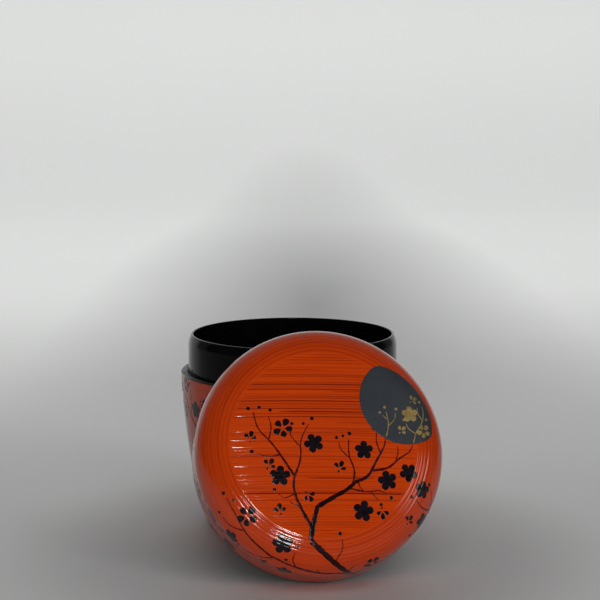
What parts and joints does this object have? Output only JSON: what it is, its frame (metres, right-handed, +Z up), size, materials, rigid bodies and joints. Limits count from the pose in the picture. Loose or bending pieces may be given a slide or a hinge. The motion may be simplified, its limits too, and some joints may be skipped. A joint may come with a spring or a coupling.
{
  "type": "tea caddy",
  "caption": "Round lacquered tea caddy: a turned cup with a raised black collar, and a domed lift-off lid that stands beside it, leaning on the cup.",
  "frame": {"origin": "middle of the body's flat foot, on the surface that the caddy stands on", "axes": "+Z up along the body's axis; the lid leans on the body's front, which faces -Y; +X to the right seen from the front"},
  "size_m": [0.066, 0.1071, 0.0646],
  "materials": {
    "primed_wood": "black lacquer primer on turned wood, satin",
    "black_lacquer": "polished black lacquer",
    "red_lacquer": "vermilion lacquer with raised brush marks, gloss",
    "silver_lacquer": "smooth dark silver-dust lacquer, satin"
  },
  "bodies": {
    "body": {"body_core": "primed_wood", "body_coat": "red_lacquer", "body_lining": "black_lacquer", "collar": "black_lacquer"},
    "lid": {"lid_core": "primed_wood", "lid_coat": "red_lacquer", "lid_lining": "black_lacquer", "moon": "silver_lacquer"}
  },
  "joints": [
    {"name": "lid_lift", "type": "slide", "parent": "body", "child": "lid", "axis": [0, 0, 1], "range_m": [0, 0.09]}
  ]
}
